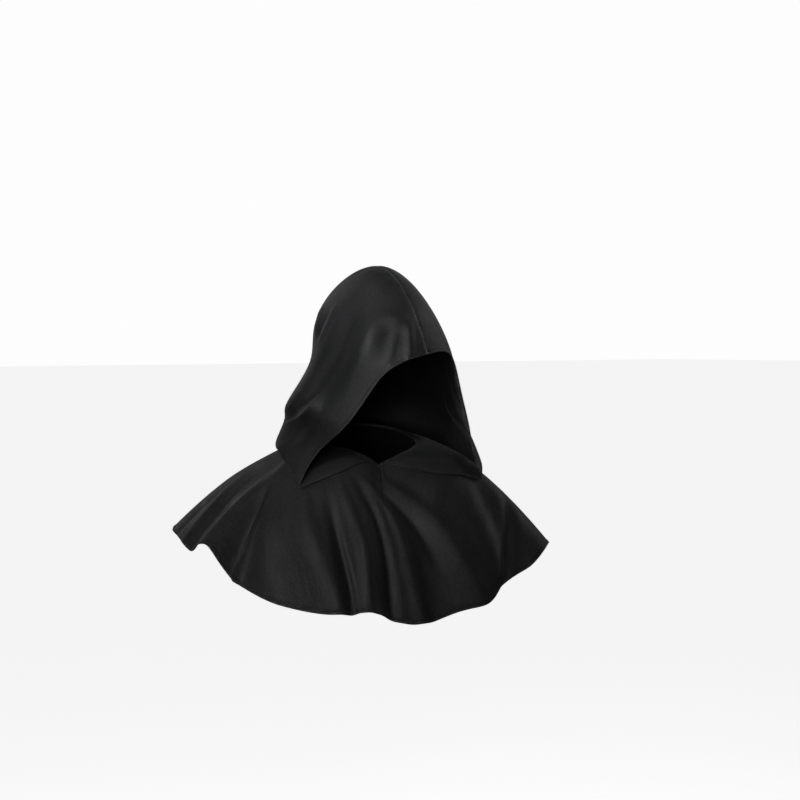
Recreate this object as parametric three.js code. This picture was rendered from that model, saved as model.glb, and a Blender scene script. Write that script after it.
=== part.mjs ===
import * as THREE from 'three';

// A monk's hood sewn to a round shoulder cape, both of thin black satin, in its worn drape.
// Millimetres, +Z up, front towards -Y, the hood's own left towards +X.
// The origin is on the inside of the crown, on the point that carries the hood.

// Driving dimensions
const CLOTH_WALL = 1.5;
const SEAM_GAP = 0.3;
const STITCH_GAP = 0.8;
const REST_GAP = 2.6;
const HOOD_HEIGHT = 264;
const HOOD_DEPTH = 230;
const HOOD_HALF_WIDTH = 130;
const HOOD_TURN = 25;
const SHOULDER_REST = 145;
const ROLL_LIFT = 9;
const ROLL_HEIGHT = 23;
const ROLL_DEPTH = 8;
const ROLL_LEAN = 3;
const NECK_HALF_WIDTH = 72;
const NECK_HALF_DEPTH = 68;
const NECK_ASIDE = -12;
const NECK_BEHIND = 27;
const NECK_BACK_RISE = 20;
const NECK_V_DIP = 32;
const CAPE_REACH = 290;
const CAPE_DROP = 245;

// Degrees of bearing over which the V at the front of the neckline fades, on each side
const V_SPREAD_RIGHT = 32;
const V_SPREAD_LEFT = 48;

// Shares that shape every fold: how it widens and rises down the cape, and how it sets in and ends
const FOLD_WIDTH_AT_NECK = 0.45;
const FOLD_HEIGHT_AT_NECK = 0.35;
const CAPE_FOLD_FADE = 0.3;
const HOOD_FOLD_FADE = 0.25;

// Share of SHOULDER_REST from the neckline at which the hood is REST_GAP above the cape, and how
// softly, in millimetres, it settles on it
const SEAM_REACH = 0.12;
const REST_SOFTNESS = 0.4;
const FAR_ABOVE = 30;

// Steps of the slope below a point of the hood, in millimetres and in degrees
const SLOPE_STEP = 2;

// Cells of the meshes; the cape's are closer together between the two bearings of CAPE_FRONT
const CAPE_FRONT = [-112, 84];
const CAPE_CELLS_FRONT = 70;
const CAPE_CELLS_BEHIND = 20;
const CAPE_CELLS_DOWN = 12;
const PANEL_CELLS_BACK = 30;
const PANEL_CELLS_BETWEEN_KEYS = [5, 2, 2, 2, 4, 4, 5, 4];

// Lowest hem, reach and profile of the cape, round the neck from the back by the right.
// Bearing is in degrees from the front, drop a share of CAPE_DROP, reach a share of CAPE_REACH.
// A bend over 1 keeps the cloth level on the shoulder before it falls.
const CAPE_HEM = [
  { bearing: -150, drop: 0.8, reach: 0.75, bend: 1.35 },
  { bearing: -125, drop: 0.64, reach: 0.9, bend: 1.6 },
  { bearing: -102, drop: 0.555, reach: 1.03, bend: 1.7 },
  { bearing: -85, drop: 0.585, reach: 1.0, bend: 1.65 },
  { bearing: -78, drop: 0.62, reach: 0.975, bend: 1.6 },
  { bearing: -71, drop: 0.575, reach: 0.945, bend: 1.54 },
  { bearing: -66, drop: 0.7, reach: 0.915, bend: 1.46 },
  { bearing: -60, drop: 0.785, reach: 0.88, bend: 1.4 },
  { bearing: -50, drop: 0.862, reach: 0.83, bend: 1.32 },
  { bearing: -35, drop: 0.925, reach: 0.77, bend: 1.22 },
  { bearing: -18, drop: 0.94, reach: 0.715, bend: 1.14 },
  { bearing: -10, drop: 0.93, reach: 0.71, bend: 1.12 },
  { bearing: 0, drop: 0.985, reach: 0.7, bend: 1.1 },
  { bearing: 10, drop: 1.015, reach: 0.7, bend: 1.1 },
  { bearing: 20, drop: 0.982, reach: 0.71, bend: 1.15 },
  { bearing: 30, drop: 0.94, reach: 0.76, bend: 1.22 },
  { bearing: 36, drop: 0.92, reach: 0.795, bend: 1.28 },
  { bearing: 44, drop: 0.8, reach: 0.84, bend: 1.36 },
  { bearing: 56, drop: 0.718, reach: 0.895, bend: 1.5 },
  { bearing: 66, drop: 0.632, reach: 0.93, bend: 1.55 },
  { bearing: 78, drop: 0.635, reach: 0.94, bend: 1.6 },
  { bearing: 100, drop: 0.63, reach: 0.92, bend: 1.6 },
  { bearing: 125, drop: 0.71, reach: 0.845, bend: 1.5 },
  { bearing: 150, drop: 0.815, reach: 0.74, bend: 1.3 },
  { bearing: 180, drop: 0.87, reach: 0.655, bend: 1.25 },
];

// Folds of the cape. Each runs from bearing `from`, at the share `start` of the way down,
// to bearing `hem`, sweeping sooner with a higher `sweep`, and ends at the share `end`.
// Width and height are shares of CAPE_REACH at the hem; a negative height is a valley.
const CAPE_FOLDS = [
  { hem: -91, from: -94, start: 0.45, end: 1.5, sweep: 1, width: 0.030, height: -0.012 },
  { hem: -84, from: -92, start: 0.40, end: 1.5, sweep: 1, width: 0.034, height: 0.010 },
  { hem: -75, from: -76, start: 0.40, end: 1.5, sweep: 1, width: 0.034, height: 0.012 },
  { hem: -65, from: -71, start: 0.42, end: 1.5, sweep: 1, width: 0.040, height: -0.044 },
  { hem: -58, from: -67, start: 0.50, end: 1.5, sweep: 1, width: 0.034, height: 0.014 },
  { hem: -47, from: -62, start: 0.60, end: 1.5, sweep: 1, width: 0.055, height: -0.012 },
  { hem: -21, from: -62, start: 0.30, end: 1.5, sweep: 1.3, width: 0.060, height: 0.014 },
  { hem: -18, from: -44, start: 0.34, end: 1.5, sweep: 1.6, width: 0.034, height: -0.016 },
  { hem: -11, from: -42, start: 0.20, end: 1.05, sweep: 3, width: 0.040, height: 0.014 },
  { hem: -2, from: -32, start: 0.15, end: 1.5, sweep: 4, width: 0.042, height: -0.026 },
  { hem: 11, from: -28, start: 0.15, end: 1.5, sweep: 5, width: 0.046, height: 0.018 },
  { hem: 24, from: -25, start: 0.10, end: 0.9, sweep: 3.5, width: 0.036, height: -0.014 },
  { hem: 35, from: -8, start: 0.05, end: 1.5, sweep: 2.6, width: 0.055, height: 0.020 },
  { hem: 44, from: 75, start: 0.55, end: 1.5, sweep: 1, width: 0.045, height: -0.030 },
  { hem: 64, from: 70, start: 0.40, end: 1.5, sweep: 1, width: 0.080, height: 0.012 },
  { hem: 95, from: 97, start: 0.40, end: 1.5, sweep: 1, width: 0.050, height: -0.022 },
  { hem: 112, from: 114, start: 0.35, end: 1.5, sweep: 1, width: 0.055, height: 0.024 },
  { hem: 130, from: 130, start: 0.40, end: 1.5, sweep: 1, width: 0.050, height: -0.026 },
  { hem: 149, from: 146, start: 0.35, end: 1.5, sweep: 1, width: 0.055, height: 0.024 },
  { hem: 168, from: 165, start: 0.40, end: 1.5, sweep: 1, width: 0.048, height: -0.026 },
  { hem: -174, from: -176, start: 0.35, end: 1.5, sweep: 1, width: 0.050, height: 0.026 },
  { hem: -157, from: -158, start: 0.40, end: 1.5, sweep: 1, width: 0.048, height: -0.024 },
  { hem: -138, from: -139, start: 0.35, end: 1.5, sweep: 1, width: 0.055, height: 0.022 },
  { hem: -119, from: -120, start: 0.40, end: 1.5, sweep: 1, width: 0.050, height: -0.026 },
  { hem: -104, from: -104, start: 0.35, end: 1.5, sweep: 1, width: 0.045, height: 0.016 },
];

// Sections of the hood, each an arch from the neckline over the crown, from the front hem to
// the back seam. `back` is the share of the way from the hem to the back seam.
// Bearings place the neckline, the cloth lying on the cape and the roll where it turns up, whose
// reaches are shares of SHOULDER_REST; `curl` is the share of ROLL_HEIGHT that the roll stands.
// Cheek, side and temple are [ahead, out, drop], shares of HOOD_DEPTH, HOOD_HALF_WIDTH and HOOD_HEIGHT.
const RIGHT_SECTIONS = [
  {
    back: 0, neck: 0.5, under: [33, 0.70], roll: [54.5, 1.02], curl: 0.65,
    cheek: [0.24, 0.84, 0.891], side: [0.34, 0.66, 0.73], temple: [0.435, 0.446, 0.565],
  },
  {
    back: 0.15, neck: 22, under: [58, 0.82], roll: [73, 1.0], curl: 0.9,
    cheek: [0.13, 0.94, 0.85], side: [0.24, 0.77, 0.69], temple: [0.35, 0.60, 0.50],
  },
  {
    back: 0.35, neck: 52, under: [82, 0.876], roll: [91, 0.986], curl: 1,
    cheek: [-0.02, 1.0, 0.80], side: [0.09, 0.84, 0.62], temple: [0.195, 0.70, 0.42],
  },
  {
    back: 0.55, neck: 85, under: [102, 0.876], roll: [107, 0.98], curl: 1,
    cheek: [-0.217, 1.02, 0.78], side: [-0.12, 0.84, 0.57], temple: [-0.04, 0.72, 0.37],
  },
  {
    back: 0.75, neck: 122, under: [126, 0.848], roll: [126, 0.952], curl: 1,
    cheek: [-0.413, 0.80, 0.78], side: [-0.33, 0.61, 0.56], temple: [-0.27, 0.60, 0.37],
  },
  {
    back: 0.9, neck: 155, under: [151, 0.79], roll: [145, 0.90], curl: 1,
    cheek: [-0.53, 0.42, 0.78], side: [-0.46, 0.34, 0.56], temple: [-0.42, 0.37, 0.36],
  },
];
const LEFT_SECTIONS = [
  {
    back: 0, neck: 0.5, under: [43, 0.876], roll: [64, 1.19], curl: 0.8,
    cheek: [0.34, 0.83, 0.925], side: [0.365, 0.68, 0.73], temple: [0.383, 0.515, 0.516],
  },
  {
    back: 0.15, neck: 22, under: [66, 0.979], roll: [80, 1.17], curl: 1,
    cheek: [0.226, 0.923, 0.88], side: [0.255, 0.76, 0.69], temple: [0.287, 0.62, 0.47],
  },
  {
    back: 0.35, neck: 52, under: [90, 1.007], roll: [98, 1.117], curl: 1,
    cheek: [0.052, 0.985, 0.82], side: [0.10, 0.82, 0.62], temple: [0.15, 0.70, 0.42],
  },
  {
    back: 0.55, neck: 85, under: [110, 0.938], roll: [118, 1.041], curl: 1,
    cheek: [-0.165, 0.97, 0.79], side: [-0.10, 0.81, 0.57], temple: [-0.04, 0.71, 0.37],
  },
  {
    back: 0.75, neck: 122, under: [134, 0.862], roll: [143, 0.966], curl: 1,
    cheek: [-0.383, 0.78, 0.78], side: [-0.32, 0.61, 0.56], temple: [-0.26, 0.60, 0.37],
  },
  {
    back: 0.9, neck: 155, under: [162, 0.80], roll: [170, 0.90], curl: 1,
    cheek: [-0.52, 0.42, 0.78], side: [-0.46, 0.34, 0.56], temple: [-0.42, 0.37, 0.36],
  },
];
const BACK_SECTION = {
  neck: 180, under: [172, 0.766], roll: [162, 0.876], curl: 1,
  cheek: [-0.557, 0, 0.78], side: [-0.51, 0, 0.58], temple: [-0.50, 0, 0.40],
};

// The crown seam, from the brow to the back: ahead is a share of HOOD_DEPTH, drop of HOOD_HEIGHT
const CROWN_SEAM = [
  { back: 0, ahead: 0.5, drop: 0.482 },
  { back: 0.15, ahead: 0.404, drop: 0.312 },
  { back: 0.35, ahead: 0.239, drop: 0.118 },
  { back: 0.55, ahead: 0, drop: -0.003 },
  { back: 0.75, ahead: -0.274, drop: 0.055 },
  { back: 0.9, ahead: -0.42, drop: 0.17 },
  { back: 1, ahead: -0.48, drop: 0.27 },
];

// Folds and dents of the hood, each along a path of [ahead, left, drop] points in the same
// shares. Width and height are shares of HOOD_DEPTH; a negative height is pressed inwards.
const HOOD_FOLDS = [
  // The crown's ridge and the facet behind it
  { path: [[0.06, -0.10, 0.02], [0.07, -0.24, 0.05], [-0.01, -0.38, 0.10]], width: 0.050, height: 0.012 },
  { path: [[-0.07, -0.12, 0.01], [-0.07, -0.28, 0.05]], width: 0.050, height: -0.010 },
  // Tucks at the back of the right side, with a crease between them
  { path: [[-0.27, -0.46, 0.21], [-0.22, -0.60, 0.31], [-0.17, -0.70, 0.41]], width: 0.045, height: 0.018 },
  {
    path: [[-0.10, -0.56, 0.23], [-0.12, -0.65, 0.33], [-0.155, -0.705, 0.42]],
    width: 0.032, height: -0.014,
  },
  { path: [[-0.05, -0.55, 0.20], [-0.09, -0.67, 0.33], [-0.14, -0.73, 0.44]], width: 0.036, height: 0.010 },
  // The hollow and the ridge that run down the right side from the crown
  {
    path: [[0.07, -0.53, 0.20], [0.14, -0.66, 0.34], [0.12, -0.77, 0.48], [0.03, -0.88, 0.62], [-0.07, -1.01, 0.75]],
    width: 0.085, height: -0.030,
  },
  {
    path: [[0.25, -0.41, 0.22], [0.30, -0.54, 0.34], [0.30, -0.64, 0.46], [0.25, -0.75, 0.62], [0.19, -0.87, 0.79]],
    width: 0.070, height: 0.020,
  },
  // Over the brow: the line where the cloth leaves the crown, a hollow, and folds by the seam
  { path: [[0.30, -0.46, 0.27], [0.36, -0.30, 0.28], [0.39, -0.15, 0.28]], width: 0.042, height: 0.010 },
  { path: [[0.35, -0.35, 0.32], [0.39, -0.42, 0.41], [0.38, -0.54, 0.52]], width: 0.050, height: -0.013 },
  { path: [[0.40, -0.24, 0.33], [0.44, -0.32, 0.44], [0.44, -0.41, 0.56]], width: 0.036, height: -0.010 },
  { path: [[0.40, -0.12, 0.29], [0.44, -0.19, 0.39], [0.49, -0.26, 0.52]], width: 0.036, height: 0.014 },
  // The crescent fold low on the right side and the dip before it
  {
    path: [[-0.45, -0.86, 0.92], [-0.15, -1.00, 0.86], [0.00, -0.99, 0.80], [0.07, -0.92, 0.70]],
    width: 0.042, height: 0.020,
  },
  { path: [[0.07, -0.97, 0.80], [-0.03, -1.00, 0.91], [-0.12, -1.02, 0.99]], width: 0.050, height: -0.012 },
  // Inside the left side: a fold pressed inwards and a hollow before it
  {
    path: [[0.07, 0.93, 0.76], [0.03, 0.99, 0.83], [0.12, 1.02, 0.92], [0.25, 0.93, 0.98]],
    width: 0.045, height: -0.024,
  },
  { path: [[0.29, 0.72, 0.67], [0.26, 0.84, 0.82]], width: 0.060, height: 0.014 },
  // Plain folds at the back
  { path: [[-0.30, 0.55, 0.30], [-0.26, 0.68, 0.50], [-0.22, 0.84, 0.72]], width: 0.060, height: 0.018 },
  { path: [[-0.16, 0.66, 0.36], [-0.08, 0.82, 0.60], [-0.04, 0.94, 0.80]], width: 0.060, height: -0.018 },
  { path: [[-0.48, 0.20, 0.45], [-0.46, 0.40, 0.66], [-0.42, 0.62, 0.86]], width: 0.060, height: -0.020 },
  {
    path: [[-0.46, -0.18, 0.42], [-0.50, -0.20, 0.62], [-0.56, -0.16, 0.86]],
    width: 0.060, height: -0.018,
  },
];

const radians = (degrees) => (degrees * Math.PI) / 180;
const clamp = (value, low, high) => Math.min(high, Math.max(low, value));
const smoothStep = (share) => {
  const s = clamp(share, 0, 1);
  return s * s * (3 - 2 * s);
};

// A smooth curve through values at rising places, with no bend at its two ends
function splineThrough(places, values) {
  const count = places.length;
  const bends = new Array(count).fill(0);
  const scratch = new Array(count).fill(0);
  for (let i = 1; i < count - 1; i += 1) {
    const before = places[i] - places[i - 1];
    const after = places[i + 1] - places[i];
    const share = before / (before + after);
    const pivot = share * bends[i - 1] + 2;
    const turn = (values[i + 1] - values[i]) / after - (values[i] - values[i - 1]) / before;
    bends[i] = (share - 1) / pivot;
    scratch[i] = ((6 * turn) / (before + after) - share * scratch[i - 1]) / pivot;
  }
  for (let i = count - 2; i >= 0; i -= 1) {
    bends[i] = i === 0 ? 0 : bends[i] * bends[i + 1] + scratch[i];
  }
  return (place) => {
    let i = 0;
    while (i < count - 2 && place > places[i + 1]) i += 1;
    const span = places[i + 1] - places[i];
    const a = (places[i + 1] - place) / span;
    const b = 1 - a;
    const bend = ((a * a * a - a) * bends[i] + (b * b * b - b) * bends[i + 1]) * (span * span) / 6;
    return a * values[i] + b * values[i + 1] + bend;
  };
}

// The same round a full turn of bearing: the rows are repeated a few times past each end
function splineRound(rows, column) {
  const sorted = [...rows].sort((a, b) => a.bearing - b.bearing);
  const wide = [-360, 0, 360].flatMap((turn) => sorted.map((row) => [row.bearing + turn, row[column]]));
  return splineThrough(wide.map((pair) => pair[0]), wide.map((pair) => pair[1]));
}

const hemDrop = splineRound(CAPE_HEM, 'drop');
const hemReach = splineRound(CAPE_HEM, 'reach');
const hemBend = splineRound(CAPE_HEM, 'bend');

// Shortest way round from one bearing to another
const turnFrom = (from, to) => ((((to - from) % 360) + 540) % 360) - 180;

function neckRadius(bearing) {
  const across = Math.sin(radians(bearing)) / NECK_HALF_WIDTH;
  const along = Math.cos(radians(bearing)) / NECK_HALF_DEPTH;
  return 1 / Math.hypot(across, along);
}

// Height of the folds of the cape at a bearing and a share of the way down
function capeFoldHeight(bearing, share, reach) {
  let height = 0;
  for (const fold of CAPE_FOLDS) {
    const along = clamp((share - fold.start) / (1 - fold.start), 0, 1);
    const path = fold.hem + (fold.from - fold.hem) * (1 - along) ** fold.sweep;
    const width = fold.width * CAPE_REACH * (FOLD_WIDTH_AT_NECK + (1 - FOLD_WIDTH_AT_NECK) * share);
    const rise = fold.height * CAPE_REACH * (FOLD_HEIGHT_AT_NECK + (1 - FOLD_HEIGHT_AT_NECK) * share);
    const off = (radians(turnFrom(path, bearing)) * reach) / width;
    const setIn = smoothStep((share - fold.start) / CAPE_FOLD_FADE);
    const end = smoothStep((share - fold.end) / CAPE_FOLD_FADE + 1);
    height += rise * setIn * (1 - end) * Math.exp(-off * off);
  }
  return height;
}

// Middle of the cape's cloth as [reach from the neck's axis, z]
function capeProfile(bearing, share) {
  const neck = neckRadius(bearing);
  const spread = bearing < 0 ? V_SPREAD_RIGHT : V_SPREAD_LEFT;
  const drop = hemDrop(bearing) * CAPE_DROP;
  const run = hemReach(bearing) * CAPE_REACH - neck;
  const bend = hemBend(bearing);
  const rise = NECK_BACK_RISE * ((1 - Math.cos(radians(bearing))) / 2) ** 2;
  const dip = NECK_V_DIP * Math.exp(-Math.abs(bearing) / spread);
  const nearNeck = 1 - share;
  const reach = neck + run * share;
  const z = rise * nearNeck ** 2 - drop * share ** bend - dip * nearNeck ** 3 - HOOD_HEIGHT;
  const slope = Math.atan2(drop * bend * Math.max(share, 0.02) ** (bend - 1), run);
  const height = capeFoldHeight(bearing, share, reach);
  return [reach + height * Math.sin(slope), z + height * Math.cos(slope)];
}

function roundNeck(bearing, reach, z) {
  const angle = radians(bearing);
  return new THREE.Vector3(NECK_ASIDE + reach * Math.sin(angle), NECK_BEHIND - reach * Math.cos(angle), z);
}

function capePoint(bearing, share) {
  const [reach, z] = capeProfile(bearing, share);
  return roundNeck(bearing, reach, z);
}

// Height of the cape's cloth under a bearing and reach
function capeHeightAt(bearing, reach) {
  const run = hemReach(bearing) * CAPE_REACH - neckRadius(bearing);
  let share = (reach - neckRadius(bearing)) / run;
  for (let step = 0; step < 4; step += 1) {
    share = clamp(share, 0, 1);
    share += (reach - capeProfile(bearing, share)[0]) / run;
  }
  return capeProfile(bearing, clamp(share, 0, 1))[1];
}

// A place over the crown seat, turned with the hood: ahead, out to the left, and down
function hoodPlace(ahead, left, drop) {
  const turn = radians(HOOD_TURN);
  return new THREE.Vector3(
    ahead * Math.sin(turn) + left * Math.cos(turn),
    -ahead * Math.cos(turn) + left * Math.sin(turn),
    -drop,
  );
}

// The point above the cape, by `lift`, that is straight over or under the given one
function liftedOffCape(point, lift) {
  const across = point.x - NECK_ASIDE;
  const ahead = NECK_BEHIND - point.y;
  const bearing = (Math.atan2(across, ahead) * 180) / Math.PI;
  return point.clone().setZ(capeHeightAt(bearing, Math.hypot(across, ahead)) + lift);
}

// The keys of an arch on one side, from the neckline to the temple
function sectionKeys(section, side) {
  const onPlan = ([bearing, reach]) => roundNeck(side * bearing, reach * SHOULDER_REST, 0);
  const place = ([ahead, out, drop]) =>
    hoodPlace(ahead * HOOD_DEPTH, side * out * HOOD_HALF_WIDTH, drop * HOOD_HEIGHT);
  const neck = roundNeck(side * section.neck, neckRadius(side * section.neck), 0);
  const under = onPlan(section.under);
  const roll = onPlan(section.roll);
  const [rollBearing, rollReach] = section.roll;
  const top = onPlan([rollBearing, rollReach - ROLL_LEAN / SHOULDER_REST]);
  const inwards = new THREE.Vector3().subVectors(under, roll).normalize();
  const toe = roll.clone().addScaledVector(inwards, section.curl * ROLL_DEPTH);
  return [
    liftedOffCape(neck, CLOTH_WALL + STITCH_GAP),
    liftedOffCape(under, CLOTH_WALL + REST_GAP),
    liftedOffCape(toe, CLOTH_WALL + REST_GAP),
    liftedOffCape(roll, section.curl * ROLL_LIFT),
    liftedOffCape(top, section.curl * ROLL_HEIGHT),
    place(section.cheek),
    place(section.side),
    place(section.temple),
  ];
}

// Each key's path round the back, from the right hem to the left one
const keyPaths = (() => {
  const right = RIGHT_SECTIONS.map((section) => [section.back - 1, sectionKeys(section, -1)]);
  const back = [[0, sectionKeys(BACK_SECTION, -1)]];
  const left = LEFT_SECTIONS.map((section) => [1 - section.back, sectionKeys(section, 1)]).reverse();
  const rows = [...right, ...back, ...left];
  const places = rows.map((row) => row[0]);
  return rows[0][1].map((_, key) =>
    ['x', 'y', 'z'].map((axis) => splineThrough(places, rows.map((row) => row[1][key][axis]))));
})();

const crownPath = ['ahead', 'drop'].map((column) =>
  splineThrough(CROWN_SEAM.map((row) => row.back), CROWN_SEAM.map((row) => row[column])));

const vectorAt = (splines, place) => new THREE.Vector3(...splines.map((spline) => spline(place)));

// One arch over the hood: its keys' places along it, and the curve through them
function archAt(back) {
  const right = keyPaths.map((path) => vectorAt(path, back - 1));
  const left = keyPaths.map((path) => vectorAt(path, 1 - back)).reverse();
  const [ahead, drop] = crownPath.map((path) => path(back));
  const crown = hoodPlace(ahead * HOOD_DEPTH, 0, drop * HOOD_HEIGHT);
  const keys = [...right, crown, ...left];
  const places = [0];
  for (let i = 1; i < keys.length; i += 1) {
    places.push(places[i - 1] + Math.max(1, keys[i].distanceTo(keys[i - 1])));
  }
  const curve = ['x', 'y', 'z'].map((axis) => splineThrough(places, keys.map((key) => key[axis])));
  return { places, curve };
}

// Lifts a point of the hood smoothly off the cape that it rests on
function restOnCape(point) {
  const x = point.x - NECK_ASIDE;
  const y = NECK_BEHIND - point.y;
  const reach = Math.hypot(x, y);
  const bearing = (Math.atan2(x, y) * 180) / Math.PI;
  const neck = neckRadius(bearing);
  const fromNeck = smoothStep((reach - neck) / (SEAM_REACH * SHOULDER_REST));
  const gap = CLOTH_WALL + STITCH_GAP + (REST_GAP - STITCH_GAP) * fromNeck;
  const beyondNeck = Math.max(reach, neck);
  const level = capeHeightAt(bearing, beyondNeck);
  const beside = bearing < 0 ? -SLOPE_STEP : SLOPE_STEP;
  const slopeOut = (capeHeightAt(bearing, beyondNeck + SLOPE_STEP) - level) / SLOPE_STEP;
  const slopeRound = (capeHeightAt(bearing + beside, beyondNeck) - level) / (radians(beside) * beyondNeck);
  const floor = level + gap * Math.hypot(1, slopeOut, slopeRound);
  const softness = REST_SOFTNESS + fromNeck;
  const over = (point.z - floor) / softness;
  const lifted = over > FAR_ABOVE ? over : Math.log1p(Math.exp(over));
  return new THREE.Vector3(point.x, point.y, floor + softness * lifted);
}

// Rounds of each fold: places close together along its path, weaker towards its ends
const ROUNDS_PER_POINT = 4;
const foldRounds = HOOD_FOLDS.map(({ path, width, height }) => {
  const places = path.map((_, i) => i);
  const line = [0, 1, 2].map((axis) => splineThrough(places, path.map((point) => point[axis])));
  const count = ROUNDS_PER_POINT * path.length;
  const rounds = [];
  for (let i = 0; i <= count; i += 1) {
    const share = i / count;
    const [ahead, left, drop] = line.map((along) => along(share * (path.length - 1)));
    const place = hoodPlace(ahead * HOOD_DEPTH, left * HOOD_HALF_WIDTH, drop * HOOD_HEIGHT);
    const weight = smoothStep(share / HOOD_FOLD_FADE) * smoothStep((1 - share) / HOOD_FOLD_FADE);
    rounds.push({ place, weight });
  }
  const step = rounds[0].place.distanceTo(rounds[count].place) / count;
  const reach = width * HOOD_DEPTH;
  const scale = (height * HOOD_DEPTH * step) / (reach * Math.sqrt(Math.PI));
  return { rounds, reach, scale };
});

// Height of the hood's folds at a point, outwards
function hoodFoldHeight(point) {
  let height = 0;
  for (const { rounds, reach, scale } of foldRounds) {
    for (const { place, weight } of rounds) {
      height += scale * weight * Math.exp(-point.distanceToSquared(place) / (reach * reach));
    }
  }
  return height;
}

// The middle of one panel's cloth, as rows from the neckline to the crown seam
function panelGrid(side) {
  const stations = [0];
  PANEL_CELLS_BETWEEN_KEYS.forEach((cells, key) => {
    for (let i = 1; i <= cells; i += 1) stations.push(key + i / cells);
  });
  const arches = [];
  for (let j = 0; j <= PANEL_CELLS_BACK; j += 1) {
    arches.push(archAt(j / PANEL_CELLS_BACK));
  }
  return stations.map((station) => arches.map(({ places, curve }) => {
    const key = Math.min(PANEL_CELLS_BETWEEN_KEYS.length - 1, Math.floor(station));
    const last = places.length - 1;
    const from = side < 0 ? places[key] : places[last - key];
    const to = side < 0 ? places[key + 1] : places[last - key - 1];
    return vectorAt(curve, from + (to - from) * (station - key));
  }));
}

// Normals of a grid of points, facing out where the rows and columns turn the given way
function gridNormals(grid, way, round) {
  const rows = grid.length;
  const columns = grid[0].length;
  const wrap = (j) => (round ? (j + columns) % columns : clamp(j, 0, columns - 1));
  return grid.map((row, i) => row.map((_, j) => {
    const normal = new THREE.Vector3();
    for (const [di, dj] of [[1, 1], [-1, 1], [-1, -1], [1, -1]]) {
      const down = grid[clamp(i + di, 0, rows - 1)][j];
      const along = grid[i][wrap(j + dj)];
      const a = new THREE.Vector3().subVectors(down, grid[i][j]);
      const b = new THREE.Vector3().subVectors(along, grid[i][j]);
      normal.addScaledVector(a.cross(b), di * dj * way);
    }
    return normal.normalize();
  }));
}

// A closed wall of cloth about a grid of points, with square edges
function clothWall(grid, normals, round) {
  const rows = grid.length;
  const columns = grid[0].length;
  const positions = [];
  for (const half of [0.5, -0.5]) {
    grid.forEach((row, i) => row.forEach((point, j) => {
      const place = point.clone().addScaledVector(normals[i][j], half * CLOTH_WALL);
      positions.push(place.x, place.y, place.z);
    }));
  }
  const layer = rows * columns;
  const at = (i, j) => i * columns + (j % columns);
  const faces = [];
  const quad = (a, b, c, d) => faces.push(a, b, c, a, c, d);
  const cellsAcross = round ? columns : columns - 1;
  for (let i = 0; i < rows - 1; i += 1) {
    for (let j = 0; j < cellsAcross; j += 1) {
      quad(at(i, j), at(i + 1, j), at(i + 1, j + 1), at(i, j + 1));
      quad(layer + at(i, j), layer + at(i, j + 1), layer + at(i + 1, j + 1), layer + at(i + 1, j));
    }
  }
  for (let j = 0; j < cellsAcross; j += 1) {
    quad(at(0, j), at(0, j + 1), layer + at(0, j + 1), layer + at(0, j));
    quad(at(rows - 1, j + 1), at(rows - 1, j), layer + at(rows - 1, j), layer + at(rows - 1, j + 1));
  }
  if (!round) {
    for (let i = 0; i < rows - 1; i += 1) {
      quad(at(i + 1, 0), at(i, 0), layer + at(i, 0), layer + at(i + 1, 0));
      quad(at(i, columns - 1), at(i + 1, columns - 1), layer + at(i + 1, columns - 1), layer + at(i, columns - 1));
    }
  }
  const geometry = new THREE.BufferGeometry();
  geometry.setAttribute('position', new THREE.Float32BufferAttribute(positions, 3));
  geometry.setIndex(faces);
  geometry.computeVertexNormals();
  return geometry;
}

// Turns every triangle over, for a panel whose rows run the other way round
function turnedOver(geometry) {
  const index = geometry.index;
  for (let i = 0; i < index.count; i += 3) {
    const first = index.getX(i);
    index.setX(i, index.getX(i + 1));
    index.setX(i + 1, first);
  }
  geometry.computeVertexNormals();
  return geometry;
}

function satin(name) {
  const material = new THREE.MeshStandardMaterial({ color: 0x242427, roughness: 0.5, metalness: 0 });
  material.name = name;
  return material;
}

// Bearings of the cape's columns, closer together over the folds of its front
function capeBearings() {
  const [first, last] = CAPE_FRONT;
  const right = Math.round((CAPE_CELLS_FRONT * -first) / (last - first));
  const left = CAPE_CELLS_FRONT - right;
  const behind = 360 - (last - first);
  const bearings = [];
  for (let j = 0; j < right; j += 1) bearings.push(first * (1 - j / right));
  for (let j = 0; j < left; j += 1) bearings.push((last * j) / left);
  for (let j = 0; j < CAPE_CELLS_BEHIND; j += 1) bearings.push(last + (behind * j) / CAPE_CELLS_BEHIND);
  return bearings.map((bearing) => turnFrom(0, bearing));
}

function buildCapelet() {
  const bearings = capeBearings();
  const grid = [];
  for (let i = 0; i <= CAPE_CELLS_DOWN; i += 1) {
    const row = [];
    bearings.forEach((bearing) => row.push(capePoint(bearing, i / CAPE_CELLS_DOWN)));
    grid.push(row);
  }
  const mesh = new THREE.Mesh(clothWall(grid, gridNormals(grid, 1, true), true), satin('capelet_satin'));
  mesh.name = 'capelet';
  return mesh;
}

// Outward normals of both panels, alike along the seam that they share
function hoodNormals(right, left) {
  const normalsRight = gridNormals(right, 1, false);
  const normalsLeft = gridNormals(left, -1, false);
  for (const [i, j] of seamCells(right)) {
    const normal = normalsRight[i][j].clone().add(normalsLeft[i][j]).normalize();
    normalsRight[i][j] = normal;
    normalsLeft[i][j] = normal;
  }
  return [normalsRight, normalsLeft];
}

// Places in a panel's grid along the centre seam, from the brow over the crown to the nape
function seamCells(grid) {
  const crown = grid.length - 1;
  const back = grid[0].length - 1;
  const cells = [];
  for (let j = 0; j < back; j += 1) cells.push([crown, j]);
  for (let i = crown; i >= 0; i -= 1) cells.push([i, back]);
  return cells;
}

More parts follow.
